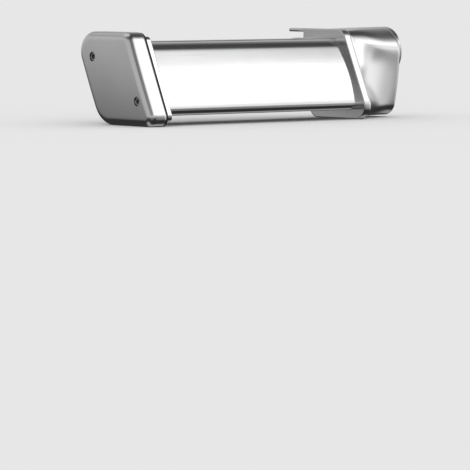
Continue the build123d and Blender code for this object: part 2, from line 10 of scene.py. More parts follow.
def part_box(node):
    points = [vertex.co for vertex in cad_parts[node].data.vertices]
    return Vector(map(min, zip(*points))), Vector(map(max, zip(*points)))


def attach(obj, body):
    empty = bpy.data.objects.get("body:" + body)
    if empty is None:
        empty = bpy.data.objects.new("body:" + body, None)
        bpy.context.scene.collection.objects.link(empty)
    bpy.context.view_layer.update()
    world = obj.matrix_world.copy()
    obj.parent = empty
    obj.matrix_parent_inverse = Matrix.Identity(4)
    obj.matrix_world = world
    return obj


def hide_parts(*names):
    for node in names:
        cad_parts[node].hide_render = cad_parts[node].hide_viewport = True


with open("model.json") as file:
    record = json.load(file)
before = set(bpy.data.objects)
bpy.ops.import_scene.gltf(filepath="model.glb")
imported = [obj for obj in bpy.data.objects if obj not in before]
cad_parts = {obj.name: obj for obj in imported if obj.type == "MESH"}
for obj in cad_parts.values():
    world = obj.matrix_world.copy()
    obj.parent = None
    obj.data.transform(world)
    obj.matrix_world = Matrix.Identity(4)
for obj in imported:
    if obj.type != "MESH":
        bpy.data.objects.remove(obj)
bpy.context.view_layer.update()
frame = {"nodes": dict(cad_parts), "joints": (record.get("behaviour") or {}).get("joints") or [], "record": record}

MM = 0.001
OVERCUT = 1 * MM                         # cutters run this far past the faces that they cut

# ------------------------------------------------------------ sizes read from the frame
cap_low, cap_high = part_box("left_end_cap")
housing_low, housing_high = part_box("gear_housing")
right_frame_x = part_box("right_frame")[0].x
shaft_end_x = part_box("drive_shaft")[1].x
cap_face_x, seam_x = cap_low.x, cap_high.x
flange_x, hub_end_x = housing_low.x, housing_high.x
section_height = cap_high.z - cap_low.z
mid_height = (cap_high.z + cap_low.z) / 2
joint_places = {joint["name"]: Vector(joint["pos_m"]) for joint in frame["joints"]}
hub_centre = joint_places["drive_spin"]

# ------------------------------------------------------------ shape of the leaning section
LEAN = math.tan(math.radians(25.1))
SECTION_DEPTH = 58.2 * MM
# Corner radii: front top, back top, back bottom, front bottom. The flange has the notch's three
# corners in place of its back top one.
CAP_RADII = (8.0 * MM, 12.5 * MM, 18.0 * MM, 6.0 * MM)
HOUSING_RADII = (8.0 * MM, 6.0 * MM, 8.0 * MM, 11.0 * MM)
FLANGE_RADII = (8.0 * MM, 2.5 * MM, 1.5 * MM, 3.0 * MM, 8.0 * MM, 9.0 * MM)
CAP_FILLET = 4.6 * MM
CAP_CROWN = 0.9 * MM                     # the face's corners lie this far behind its middle
CROWN_OVER_HEIGHT = 0.7
CROWN_OVER_DEPTH = 0.3
CAP_BACK_FILLET = 1.2 * MM
WALL = 2.4 * MM
SCREW_RADIUS = 2.7 * MM
WELL_RADIUS = 3.05 * MM
WELL_DEPTH = 3.2 * MM
SHANK_HOLE_RADIUS = 1.7 * MM
SHANK_HOLE_DEPTH = 5 * MM
SMALLEST_RADIUS = 0.3 * MM


def section_corners(inset):
    """Corners of the leaning section moved inwards, as (y, height above the middle)."""
    half_height = section_height / 2 - inset
    half_depth = SECTION_DEPTH / 2 - inset * math.hypot(1, LEAN)
    shift = LEAN * half_height
    return [(-half_depth + shift, half_height), (half_depth + shift, half_height),
            (half_depth - shift, -half_height), (-half_depth - shift, -half_height)]


def moved_inwards(corners, inset):
    """Clockwise corners with every side moved inwards by inset."""
    points = [Vector(corner) for corner in corners]
    moved = []
    for i, here in enumerate(points):
        into = (here - points[i - 1]).normalized()
        out = (points[(i + 1) % len(points)] - here).normalized()
        inward = Vector((into.y + out.y, -into.x - out.x))
        moved.append(here + inward * inset / (1 + into.dot(out)))
    return moved


def rounded_loop(corners, radii, inset=0.0, arc_steps=14, side_steps=12):
    """Evenly spaced points round a clockwise outline with a radius at each corner, moved inwards."""
    corners = moved_inwards(corners, inset)
    arcs = []
    for i, here in enumerate(corners):
        back = (corners[i - 1] - here).normalized()
        ahead = (corners[(i + 1) % len(corners)] - here).normalized()
        hollow = back.x * ahead.y - back.y * ahead.x < 0
        radius = radii[i] + inset if hollow else max(radii[i] - inset, SMALLEST_RADIUS)
        half = back.angle(ahead) / 2
        centre = here + (back + ahead).normalized() * radius / math.sin(half)
        start = here + back * radius / math.tan(half) - centre
        turn = (math.pi - 2 * half) * (1 if hollow else -1)
        arcs.append([centre + Matrix.Rotation(turn * k / arc_steps, 2) @ start
                     for k in range(arc_steps + 1)])
    points = []
    for i, arc in enumerate(arcs):
        points += arc
        following = arcs[(i + 1) % len(arcs)][0]
        points += [arc[-1].lerp(following, k / side_steps) for k in range(1, side_steps)]
    return points


def section_loop(inset, radii):
    """Loop of the leaning section moved inwards by inset."""
    return rounded_loop(section_corners(0), radii, inset)


def loop_at(x, points):
    """Points of a section placed in the machine's frame at x."""
    return [Vector((x, p[0], mid_height + p[1])) for p in points]


def shrunk(points, share):
    """Points drawn in towards their middle."""
    middle = sum((Vector(p) for p in points), Vector((0, 0))) / len(points)
    return [middle + (Vector(p) - middle) * share for p in points]


def mesh_from_rings(name, rings):
    """Closed mesh skinned over rings that all have the same number of points."""
    shell = bmesh.new()
    rows = [[shell.verts.new(point) for point in ring] for ring in rings]
    for near, far in zip(rows, rows[1:]):
        for i in range(len(near)):
            shell.faces.new((near[i - 1], near[i], far[i], far[i - 1]))
    shell.faces.new(rows[0][::-1])
    shell.faces.new(rows[-1])
    bmesh.ops.recalc_face_normals(shell, faces=shell.faces)
    data = bpy.data.meshes.new(name)
    shell.to_mesh(data)
    shell.free()
    piece = bpy.data.objects.new(name, data)
    bpy.context.scene.collection.objects.link(piece)
    return piece


def smooth(piece, angle=32):
    """Smooth shading with sharp edges where faces turn by more than angle."""
    piece.data.shade_smooth()
    piece.data.set_sharp_from_angle(angle=math.radians(angle))


def rod_along_x(x0, x1, centre, radius, sides=64):
    """Plain round cutter used to bore holes."""
    rings = [[Vector((x, centre[0] + radius * math.cos(2 * math.pi * k / sides),
                      centre[1] + radius * math.sin(2 * math.pi * k / sides)))
              for k in range(sides)] for x in (x0, x1)]
    return mesh_from_rings("cutter", rings)


def combine(piece, others, operation="DIFFERENCE"):
    """Cut the other meshes out of a piece, or join them to it, then delete them."""
    for other in others:
        step = piece.modifiers.new("combine", "BOOLEAN")
        step.operation = operation
        step.solver = "EXACT"
        step.object = other
        apply_modifiers(piece)
        bpy.data.objects.remove(other)


def apply_modifiers(piece):
    """Turn a piece's modifiers into its mesh."""
    view = bpy.context.evaluated_depsgraph_get()
    data = bpy.data.meshes.new_from_object(piece.evaluated_get(view))
    piece.modifiers.clear()
    piece.data = data


# ------------------------------------------------------------ materials
class Recipe:
    """One material's node tree, with short helpers for its nodes."""

    def __init__(self, name):
        self.material = bpy.data.materials.new(name)
        self.material.use_nodes = True
        self.tree = self.material.node_tree
        self.shader = self.tree.nodes["Principled BSDF"]
        self.position = self.add("ShaderNodeTexCoord").outputs["Object"]

    def add(self, kind, **values):
        node = self.tree.nodes.new(kind)
        for key, value in values.items():
            setattr(node, key, value)
        return node

    def link(self, source, target):
        self.tree.links.new(source, target)

    def stretched(self, scale):
        """Object position scaled differently along each axis."""
        mapping = self.add("ShaderNodeMapping")
        mapping.inputs["Scale"].default_value = scale
        self.link(self.position, mapping.inputs["Vector"])
        return mapping.outputs["Vector"]

    def noise(self, scale, detail=3.0, stretch=None, rough=0.55):
        node = self.add("ShaderNodeTexNoise")
        node.inputs["Scale"].default_value = scale
        node.inputs["Detail"].default_value = detail
        node.inputs["Roughness"].default_value = rough
        self.link(self.stretched(stretch) if stretch else self.position, node.inputs["Vector"])
        return node.outputs["Fac"]

    def spread(self, value, low, high, to_low, to_high):
        """Map a value's range onto another."""
        node = self.add("ShaderNodeMapRange")
        for socket, number in zip(node.inputs[1:5], (low, high, to_low, to_high)):
            socket.default_value = number
        self.link(value, node.inputs["Value"])
        return node.outputs["Result"]

    def combine(self, operation, first, second):
        """Math node on two values, either of which may be a number."""
        node = self.add("ShaderNodeMath", operation=operation)
        for socket, value in zip(node.inputs, (first, second)):
            if isinstance(value, (int, float)):
                socket.default_value = value
            else:
                self.link(value, socket)
        return node.outputs[0]

    def tint(self, value, dark, light):
        """Colour between two tones."""
        node = self.add("ShaderNodeMix", data_type="RGBA")
        node.inputs["A"].default_value = (*dark, 1)
        node.inputs["B"].default_value = (*light, 1)
        self.link(value, node.inputs["Factor"])
        return node.outputs["Result"]

    def bumps(self, height, strength, distance):
        node = self.add("ShaderNodeBump")
        node.inputs["Strength"].default_value = strength
        node.inputs["Distance"].default_value = distance
        self.link(height, node.inputs["Height"])
        self.link(node.outputs["Normal"], self.shader.inputs["Normal"])


def metal(name, dark, light, rough_low, rough_high, grain=None, grain_depth=0.0, smudges=9.0,
          ripple=0.0):
    """Bare or plated metal: tone and roughness vary with smudges, and an optional fine grain."""
    recipe = Recipe(name)
    shader = recipe.shader
    shader.inputs["Metallic"].default_value = 1.0
    smudge = recipe.noise(smudges, detail=5.0, rough=0.62)
    fine = recipe.noise(420.0, detail=2.0)
    cloud = recipe.spread(smudge, 0.35, 0.7, 0.0, 1.0)
    recipe.link(recipe.tint(cloud, light, dark), shader.inputs["Base Color"])
    base = recipe.spread(cloud, 0.0, 1.0, rough_low, rough_high)
    corners = recipe.add("ShaderNodeNewGeometry").outputs["Pointiness"]
    wear = recipe.combine("MULTIPLY", recipe.spread(corners, 0.53, 0.62, 0.0, 0.08), cloud)
    base = recipe.combine("ADD", base, wear)
    speckle = recipe.spread(fine, 0.3, 0.7, -0.012, 0.018)
    roughness = recipe.combine("ADD", base, speckle)
    height = recipe.combine("MULTIPLY", recipe.noise(38.0, detail=1.0), ripple)
    if grain:
        lines = recipe.noise(1.0, detail=2.0, stretch=grain)
        roughness = recipe.combine("ADD", roughness, recipe.spread(lines, 0.3, 0.7, -0.05, 0.06))
        height = recipe.combine("ADD", height, recipe.combine("MULTIPLY", lines, grain_depth))
    recipe.link(roughness, shader.inputs["Roughness"])
    recipe.bumps(height, 1.0, 0.0001)
    return recipe.material


def turned_steel():
    """Ground cutter steel: rings of tool marks round the axis, and worn ring edges a little rougher."""
    return metal("turned_cutter_steel", (0.46, 0.46, 0.47), (0.66, 0.66, 0.67), 0.16, 0.28,
                 grain=(5200.0, 60.0, 60.0), grain_depth=0.25)


def bronze():
    """Sintered bronze bush, mottled and slightly oily."""
    return metal("oiled_bronze", (0.36, 0.22, 0.09), (0.66, 0.45, 0.20), 0.26, 0.42, smudges=60.0,
                 grain=(900.0, 900.0, 900.0), grain_depth=0.3)


def acetal():
    """Off-white plastic washer."""
    recipe = Recipe("acetal")
    mottle = recipe.noise(160.0, detail=3.0)
    recipe.link(recipe.tint(mottle, (0.66, 0.64, 0.58), (0.80, 0.78, 0.72)),
                recipe.shader.inputs["Base Color"])
    recipe.link(recipe.spread(mottle, 0.3, 0.7, 0.38, 0.52), recipe.shader.inputs["Roughness"])
    recipe.bumps(mottle, 0.3, 0.0001)
    return recipe.material


def rubber():
    """Moulded black rubber with a faint bloom."""
    recipe = Recipe("black_rubber")
    bloom = recipe.noise(220.0, detail=4.0)
    recipe.link(recipe.tint(bloom, (0.010, 0.010, 0.010), (0.030, 0.030, 0.031)),
                recipe.shader.inputs["Base Color"])
    recipe.link(recipe.spread(bloom, 0.3, 0.7, 0.55, 0.75), recipe.shader.inputs["Roughness"])
    recipe.bumps(recipe.noise(1800.0, detail=2.0), 0.4, 0.0001)
    return recipe.material


CHROME = metal("bright_chrome", (0.78, 0.78, 0.79), (0.86, 0.86, 0.87), 0.17, 0.24, ripple=0.3)
POLISHED = metal("polished_stainless", (0.80, 0.80, 0.80), (0.88, 0.88, 0.885), 0.07, 0.13,
                 grain=(26.0, 1500.0, 1500.0), grain_depth=0.06, ripple=0.4)
SATIN = metal("satin_ground_steel", (0.70, 0.70, 0.71), (0.82, 0.82, 0.83), 0.10, 0.17,
              grain=(700.0, 700.0, 24.0), grain_depth=0.05)
DRAWN = metal("drawn_bar", (0.50, 0.50, 0.51), (0.68, 0.68, 0.69), 0.20, 0.32,
              grain=(20.0, 1800.0, 1800.0), grain_depth=0.3)
SCREW_STEEL = metal("stainless_screw", (0.38, 0.38, 0.39), (0.60, 0.60, 0.61), 0.18, 0.32,
                    grain=(300.0, 2600.0, 2600.0), grain_depth=0.3, smudges=240.0)
COMB_STEEL = metal("tumbled_comb_steel", (0.50, 0.50, 0.50), (0.70, 0.70, 0.70), 0.24, 0.38,
                   grain=(900.0, 900.0, 900.0), grain_depth=0.35, smudges=40.0)
COLLAR_STEEL = metal("turned_collar_steel", (0.58, 0.58, 0.59), (0.76, 0.76, 0.77), 0.12, 0.22,
                     grain=(5200.0, 40.0, 40.0), grain_depth=0.2)
CUTTER_STEEL = turned_steel()
GEAR_STEEL = metal("greased_gear_steel", (0.16, 0.15, 0.13), (0.40, 0.40, 0.40), 0.14, 0.40,
                   smudges=90.0, grain=(2400.0, 700.0, 700.0), grain_depth=0.3)
SPRING_STEEL = metal("black_spring_steel", (0.05, 0.05, 0.055), (0.14, 0.14, 0.15), 0.30, 0.45,
                     smudges=300.0)
BRONZE = bronze()
ACETAL = acetal()
RUBBER = rubber()

SLOT_MATERIALS = {
    "chrome_casting": CHROME, "polished_cover": POLISHED, "end_frame": SATIN, "tie_rod": DRAWN,
    "fastener": SCREW_STEEL, "bronze_bush": BRONZE, "thrust_washer": ACETAL, "comb": COMB_STEEL,
    "collar_steel": COLLAR_STEEL, "cutter_steel": CUTTER_STEEL, "gear_steel": GEAR_STEEL,
    "spring_clip": SPRING_STEEL, "seal": RUBBER,
}
node_slots = {part["node"]: part["material_slot"] for part in frame["record"]["subparts"]}


for node_name, node in frame["nodes"].items():
    for slot in node.material_slots:
        slot.material = SLOT_MATERIALS[node_slots[node_name]]


def finish_piece(piece, node_name):
    """A piece that stands for one CAD node, with that node's body, slot and material."""
    piece.data.materials.clear()
    piece.data.materials.append(SLOT_MATERIALS[node_slots[node_name]])
    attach(piece, "body")
    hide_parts(node_name)


# ------------------------------------------------------------ end cap
def crowned(ring):
    """Cap points with the face bowed outwards, more over its height than over its depth."""
    bowed = []
    for point in ring:
        height = (point.z - mid_height) / (section_height / 2)
        across = (point.y - LEAN * (point.z - mid_height)) / (SECTION_DEPTH / 2)
        fade = (seam_x - point.x) / (seam_x - cap_face_x)
        bow = CROWN_OVER_HEIGHT * height ** 2 + CROWN_OVER_DEPTH * across ** 2
        bowed.append(point + Vector((CAP_CROWN * fade * bow, 0, 0)))
    return bowed


def build_end_cap():
    """Cast cap: rounded outer edge, bowed face, two screw wells and a hollow back."""
    inner = section_loop(WALL, CAP_RADII)
    rings = [loop_at(cap_face_x + WALL, shrunk(inner, share)) for share in (0.05, 0.5)]
    rings += [loop_at(cap_face_x + WALL, inner), loop_at(seam_x, inner)]
    for k in range(7):
        turn = math.pi / 2 * k / 6
        rings.append(loop_at(seam_x - CAP_BACK_FILLET * (1 - math.cos(turn)),
                             section_loop(CAP_BACK_FILLET * (1 - math.sin(turn)), CAP_RADII)))
    rim_x, edge_x = seam_x - CAP_BACK_FILLET, cap_face_x + CAP_FILLET
    rings += [loop_at(rim_x + (edge_x - rim_x) * k / 6, section_loop(0, CAP_RADII)) for k in range(1, 7)]
    for k in range(1, 17):
        turn = math.pi / 2 * k / 16
        rings.append(loop_at(edge_x - CAP_FILLET * math.sin(turn),
                             section_loop(CAP_FILLET * (1 - math.cos(turn)), CAP_RADII)))
    face = section_loop(CAP_FILLET, CAP_RADII)
    rings += [loop_at(cap_face_x, shrunk(face, 1 - k / 20)) for k in range(1, 20)]
    cap = mesh_from_rings("end_cap_shell", [crowned(ring) for ring in rings])
    low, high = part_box("end_cap_screws")
    wells = [(low.y + SCREW_RADIUS, low.z + SCREW_RADIUS),
             (high.y - SCREW_RADIUS, high.z - SCREW_RADIUS)]
    cutters = []
    for centre in wells:
        for depth, radius in ((WELL_DEPTH, WELL_RADIUS), (SHANK_HOLE_DEPTH, SHANK_HOLE_RADIUS)):
            cutters.append(rod_along_x(cap_face_x - OVERCUT, cap_face_x + depth, centre, radius))
    combine(cap, cutters)
    smooth(cap)
    finish_piece(cap, "left_end_cap")


# ------------------------------------------------------------ gear housing
FLANGE_THICKNESS = 6.4 * MM
FLANGE_FILLET = 2.0 * MM
NOTCH_Y = 24.75 * MM
NOTCH_Z = 22.8 * MM
LIP_THICKNESS = 2.3 * MM
LIP_WIDTH = 4.4 * MM
LIP_END = 39.39 * MM
LIP_OVERLAP = 4 * MM
LIP_RADII = (0.4 * MM, 1.1 * MM, 1.1 * MM, 0.4 * MM)
LIP_EDGE = 0.35 * MM
LIP_EDGE_STEP = 0.1 * MM
HOUSING_INSET = 1.2 * MM
HOUSING_OVERLAP = 1.6 * MM               # the housing's body starts this far inside the flange
HOUSING_FLOOR = 1.6 * MM
CAVITY_SHARE = 0.9                       # the cavity ends this far along the housing
COLLAR_BORE_RADIUS = 11.0 * MM
COLLAR_BORE_GAP = 0.2 * MM
BUSH_SEAT_RADIUS = 9.02 * MM
BUSH_BORE_LENGTH = 30 * MM               # from the hub's end into the cavity
GEAR_ROOM = {"front_roller_spin": 11.45 * MM, "rear_roller_spin": 11.45 * MM, "drive_spin": 9.15 * MM}
GEAR_ROOM_DEPTH = 3 * MM
HUB_HALF_TOP = 19.0 * MM
HUB_HALF_BOTTOM = 11.7 * MM
HUB_TOP = 30.3 * MM
HUB_BOTTOM = -28.0 * MM
HUB_RADII = (16.5 * MM, 16.5 * MM, 4.0 * MM, 8.5 * MM)
FLANGE_BACK_FILLET = 0.5 * MM
HUB_FILLET = 2.2 * MM
HOUSING_EASING = 2.2                     # how early the section turns into the hub's
HOUSING_BARREL = 2.2 * MM                # the housing's sides swell between top and bottom
BARREL_TURNOVER = 10 * MM                # the swelling changes side over this width
flange_end_x = flange_x + FLANGE_THICKNESS
housing_length = hub_end_x - flange_end_x


def housing_section(share, inset=0.0):
    """Section of the housing between the flange (0) and the hub (1)."""
    ease = 1 - (1 - share) ** HOUSING_EASING
    middle = hub_centre.y
    hub = [(middle - HUB_HALF_TOP, HUB_TOP), (middle + HUB_HALF_TOP, HUB_TOP),
           (middle + HUB_HALF_BOTTOM, HUB_BOTTOM), (middle - HUB_HALF_BOTTOM, HUB_BOTTOM)]
    corners = [Vector(a).lerp(Vector(b), ease) for a, b in zip(section_corners(HOUSING_INSET), hub)]
    radii = [a + ease * (b - a) for a, b in zip(HOUSING_RADII, HUB_RADII)]
    loop = rounded_loop(corners, radii, inset)
    barrel = HOUSING_BARREL * ease
    swollen = []
    for point in loop:
        height = point.y / (section_height / 2)
        side = math.tanh((point.x - middle) / BARREL_TURNOVER)
        swollen.append(point + Vector((side * barrel * max(1 - height ** 2, 0), 0)))
    return loop_at(flange_end_x + share * housing_length, swollen)


def block_behind_notch(margin):
    """Space behind and above the housing's step, moved outwards by margin."""
    low_y, low_z = NOTCH_Y - margin, NOTCH_Z - margin
    far = 2 * SECTION_DEPTH
    corners = [(low_y, far), (far, far), (far, low_z), (low_y, low_z)]
    return mesh_from_rings("cutter", [loop_at(x, corners) for x in (flange_x - OVERCUT, hub_end_x)])


def moved_to(ring, x):
    """A copy of a ring at another x."""
    return [Vector((x, point.y, point.z)) for point in ring]


def build_housing():
    """Cast housing: notched flange with its lip, flowing body, rounded hub, hollow for the gears."""
    hub_fillet_share = HUB_FILLET / housing_length
    rings = [moved_to(housing_section(0), flange_end_x - HOUSING_OVERLAP)]
    rings += [housing_section((1 - hub_fillet_share) * k / 32) for k in range(33)]
    for k in range(1, 9):
        turn = math.pi / 2 * k / 8
        rings.append(housing_section(1 - hub_fillet_share * (1 - math.sin(turn)),
                                     HUB_FILLET * (1 - math.cos(turn))))
    body = mesh_from_rings("gear_housing_shell", rings)
    combine(body, [block_behind_notch(0)])

    front_top, _, back_bottom, front_bottom = section_corners(0)
    outline = [front_top, (NOTCH_Y, front_top[1]), (NOTCH_Y, NOTCH_Z),
               (SECTION_DEPTH / 2 + LEAN * NOTCH_Z, NOTCH_Z), back_bottom, front_bottom]
    back = FLANGE_BACK_FILLET
    edge = [(0.0, 1.6 * back)]
    for k in range(5):
        turn = math.pi / 2 * k / 4
        edge.append((back * (1 - math.cos(turn)), back * (1 - math.sin(turn))))
    edge += [((FLANGE_THICKNESS - FLANGE_FILLET) * k / 4, 0.0) for k in range(1, 5)]
    for k in range(1, 11):
        turn = math.pi / 2 * k / 10
        edge.append((FLANGE_THICKNESS - FLANGE_FILLET * (1 - math.sin(turn)),
                     FLANGE_FILLET * (1 - math.cos(turn))))
    plate = mesh_from_rings("plate", [loop_at(flange_x + x, rounded_loop(outline, FLANGE_RADII, inset))
                                      for x, inset in edge])

    half_height = section_height / 2
    lip_start = NOTCH_Y - LIP_OVERLAP
    bar = [(lip_start, half_height), (LIP_END, half_height),
           (LIP_END, half_height - LIP_THICKNESS), (lip_start, half_height - LIP_THICKNESS)]
    edge = [(0.0, LIP_EDGE), (LIP_EDGE_STEP, LIP_EDGE_STEP), (LIP_EDGE, 0.0)]
    edge += [(LIP_WIDTH - x, inset) for x, inset in reversed(edge)]
    lip = mesh_from_rings("lip", [loop_at(flange_x + x, rounded_loop(bar, LIP_RADII, inset))
                                  for x, inset in edge])
    combine(body, [plate, lip], "UNION")

    rings = [moved_to(housing_section(0, WALL), flange_x + HOUSING_FLOOR)]
    rings += [housing_section(CAVITY_SHARE * k / 12, WALL) for k in range(13)]
    cavity = mesh_from_rings("cavity", rings)
    combine(cavity, [block_behind_notch(WALL)])
    axis = (hub_centre.y, hub_centre.z)
    bore_end_x = hub_end_x + OVERCUT
    cutters = [cavity,
               rod_along_x(shaft_end_x + COLLAR_BORE_GAP, bore_end_x, axis, COLLAR_BORE_RADIUS, 96),
               rod_along_x(hub_end_x - BUSH_BORE_LENGTH, bore_end_x, axis, BUSH_SEAT_RADIUS, 96)]
    for joint, radius in GEAR_ROOM.items():
        place = joint_places[joint]
        cutters.append(rod_along_x(flange_x - OVERCUT, flange_x + GEAR_ROOM_DEPTH,
                                   (place.y, place.z), radius))
    combine(body, cutters)
    smooth(body, 28)
    finish_piece(body, "gear_housing")


# ------------------------------------------------------------ covers
PANEL_INSET = 5.2 * MM
FRAME_CORNER_RADIUS = 2 * MM
PANEL_THICKNESS = 0.9 * MM
PANEL_TOP = 22.6 * MM
PANEL_BOTTOM = -23.0 * MM
SHEET_GAP = 0.1 * MM
ROD_RADIUS = 2.6 * MM
BEND = ROD_RADIUS + SHEET_GAP + PANEL_THICKNESS / 2
PATH_INSET = PANEL_INSET + PANEL_THICKNESS / 2
PATH_TOP = PANEL_TOP - PANEL_THICKNESS / 2
PATH_BOTTOM = PANEL_BOTTOM + PANEL_THICKNESS / 2
FRONT_LIP = -2.9 * MM
FRONT_LIP_BOTTOM = 11.5 * MM
FRONT_TURN_IN = -12.0 * MM
REAR_TURN_IN = 5.0 * MM
CHUTE_BOTTOM = 9.6 * MM
CHUTE_TOP = 21.0 * MM


def front_line(z, inset):
    """Where the leaning front face lies at height z above the middle."""
    return -SECTION_DEPTH / 2 + inset * math.hypot(1, LEAN) + LEAN * z


FRONT_PATH = [(FRONT_LIP, FRONT_LIP_BOTTOM), (FRONT_LIP, PATH_TOP),
              (front_line(PATH_TOP, PATH_INSET), PATH_TOP),
              (front_line(PATH_BOTTOM, PATH_INSET), PATH_BOTTOM), (FRONT_TURN_IN, PATH_BOTTOM)]
FRONT_BENDS = (BEND, 9.6 * MM, BEND)
FRONT_BOW = 1.7 * MM
BOW_START = 8 * MM                       # the bow grows from nothing over this width in front of the lip
REAR_PATH = [(REAR_TURN_IN, CHUTE_BOTTOM), (CHUTE_TOP, PATH_TOP),
             (-front_line(-PATH_TOP, PATH_INSET), PATH_TOP),
             (-front_line(-PATH_BOTTOM, PATH_INSET), PATH_BOTTOM), (REAR_TURN_IN, PATH_BOTTOM)]
REAR_BENDS = (4.0 * MM, 4.0 * MM, BEND)


def bent_path(points, bends, arc_steps=12, side_steps=8):
    """Centre line of a bent sheet: straight runs joined by arcs."""
    points = [Vector(p) for p in points]
    line = [points[0]]
    for i, radius in enumerate(bends, start=1):
        here = points[i]
        back, ahead = (points[i - 1] - here).normalized(), (points[i + 1] - here).normalized()
        half = back.angle(ahead) / 2
        centre = here + (back + ahead).normalized() * radius / math.sin(half)
        reach = radius / math.tan(half)
        start, end = here + back * reach - centre, here + ahead * reach - centre
        side = 1 if start.x * end.y - start.y * end.x > 0 else -1
        turn = start.angle(end)
        first = centre + start
        line += [line[-1].lerp(first, k / side_steps) for k in range(1, side_steps)]
        line += [centre + Matrix.Rotation(side * turn * k / arc_steps, 2) @ start
                 for k in range(arc_steps + 1)]
    line += [line[-1].lerp(points[-1], k / side_steps) for k in range(1, side_steps + 1)]
    return line


def bowed(line):
    """Front cover's centre line with its leaning face bowed gently outwards."""
    top, bottom = PATH_TOP, PATH_BOTTOM
    outward = Vector((-1, LEAN)).normalized()
    bent = []
    for point in line:
        share = min(max((point.y - bottom) / (top - bottom), 0), 1)
        on_face = min(max((FRONT_LIP - point.x) / BOW_START, 0), 1)
        bent.append(point + outward * FRONT_BOW * math.sin(math.pi * share) * on_face)
    return bent


def sheet_outline(line, thickness):
    """Closed outline of a sheet of even thickness round its centre line, with rounded ends."""
    normals = []
    for i in range(len(line)):
        ahead = line[min(i + 1, len(line) - 1)] - line[max(i - 1, 0)]
        normals.append(Vector((-ahead.y, ahead.x)).normalized())
    half = thickness / 2
    left = [p + n * half for p, n in zip(line, normals)]
    right = [p - n * half for p, n in zip(line, normals)]

    def end_cap(point, normal):
        return [point + Matrix.Rotation(-math.pi * k / 6, 2) @ (normal * half) for k in range(1, 6)]

    return left + end_cap(line[-1], normals[-1]) + right[::-1] + end_cap(line[0], -normals[0])


def build_cover(name, node_name, line):
    """Bent cover from the left frame to the flange, its lips cut back round the right frame."""
    low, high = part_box(node_name)
    outline = sheet_outline(line, PANEL_THICKNESS)
    stations = 24
    rings = [loop_at(low.x + (high.x - low.x) * k / stations, outline) for k in range(stations + 1)]
    cover = mesh_from_rings(name, rings)
    inset = PANEL_INSET + PANEL_THICKNESS + SHEET_GAP
    top, bottom = PANEL_TOP - PANEL_THICKNESS - SHEET_GAP, inset - section_height / 2
    plate = [(front_line(top, inset), top), (-front_line(-top, inset), top),
             (-front_line(-bottom, inset), bottom), (front_line(bottom, inset), bottom)]
    notch = mesh_from_rings("cutter", [loop_at(x, rounded_loop(plate, [FRAME_CORNER_RADIUS] * 4))
                                       for x in (right_frame_x - SHEET_GAP, high.x + OVERCUT)])
    combine(cover, [notch])
    smooth(cover, 40)
    finish_piece(cover, node_name)


build_end_cap()
build_housing()
front_line_bowed = bowed(bent_path(FRONT_PATH, FRONT_BENDS, side_steps=24))
build_cover("front_cover_sheet", "front_panel", front_line_bowed)
build_cover("rear_cover_sheet", "rear_panel", bent_path(REAR_PATH, REAR_BENDS))


# ------------------------------------------------------------ floor, studio and camera
BACKGROUND = 0.80
FLOOR_RADIUS = 12.0
FADE_START = 0.5                         # the floor turns into the background between these distances
FADE_END = 2.0
bpy.context.scene.view_settings.view_transform = "Standard"


def build_floor():
    """Round pale floor that fades into the background colour."""
    disc = bmesh.new()
    bmesh.ops.create_circle(disc, cap_ends=True, segments=96, radius=FLOOR_RADIUS)
    data = bpy.data.meshes.new("floor")
    disc.to_mesh(data)
    disc.free()
    floor = bpy.data.objects.new("floor", data)
    bpy.context.scene.collection.objects.link(floor)
    recipe = Recipe("pale_floor")
    recipe.shader.inputs["Base Color"].default_value = (0.8, 0.8, 0.8, 1)
    recipe.shader.inputs["Roughness"].default_value = 0.9
    recipe.shader.inputs["Specular IOR Level"].default_value = 0.0
    glow = recipe.add("ShaderNodeEmission")
    glow.inputs["Color"].default_value = (BACKGROUND, BACKGROUND, BACKGROUND, 1)
    distance = recipe.add("ShaderNodeVectorMath", operation="LENGTH")
    recipe.link(recipe.position, distance.inputs[0])
    fade = recipe.spread(distance.outputs["Value"], FADE_START, FADE_END, 0.0, 1.0)
    mix = recipe.add("ShaderNodeMixShader")
    recipe.link(fade, mix.inputs["Fac"])
    recipe.link(recipe.shader.outputs["BSDF"], mix.inputs[1])
    recipe.link(glow.outputs["Emission"], mix.inputs[2])
    recipe.link(mix.outputs["Shader"], recipe.tree.nodes["Material Output"].inputs["Surface"])
    floor.data.materials.append(recipe.material)
    floor.visible_glossy = False


# Brightness of the room by height, from straight down (0) through the horizon (0.5) to straight up (1).
ROOM = ((0.0, 0.03), (0.35, 0.03), (0.42, 0.07), (0.455, 0.16), (0.485, 0.34), (0.52, 0.46),
        (0.60, 0.50), (0.72, 0.42), (0.80, 0.22), (0.87, 0.06), (1.0, 0.03))

# Light panels seen in the metal: direction, half width and its fade, half height and its fade, strength.
LIGHT_PANELS = (
    ((0.34, -0.69, 0.67), 0.40, 0.30, 0.12, 0.46, 0.85),       # main softbox with slow edges
    ((0.42, -0.72, 0.55), 0.42, 0.34, 0.08, 0.12, 0.55),       # its brighter lower band
    ((0.88, -0.48, 0.02), 0.50, 0.45, 0.28, 0.26, 0.56),       # right, level
    ((-0.75, -0.35, 0.50), 0.40, 0.40, 0.25, 0.30, 0.05),      # left
    ((-0.15, 0.45, 0.85), 0.35, 0.30, 0.30, 0.35, 0.55),       # overhead, left of the middle
    ((0.0, 0.35, -0.94), 1.10, 0.40, 0.28, 0.30, 0.30),        # light returned by the floor behind
    ((-0.62, -0.72, -0.30), 0.35, 0.30, 0.14, 0.16, 0.12),     # and by the floor at the front left
)

# Dark flags between the lights: direction, half width and fade, half height and fade, share taken.
FLAGS = (
    ((-0.66, -0.50, 0.56), 0.07, 0.09, 0.26, 0.20, 0.65),
    ((0.54, -0.84, -0.04), 0.14, 0.17, 0.20, 0.20, 0.72),
)


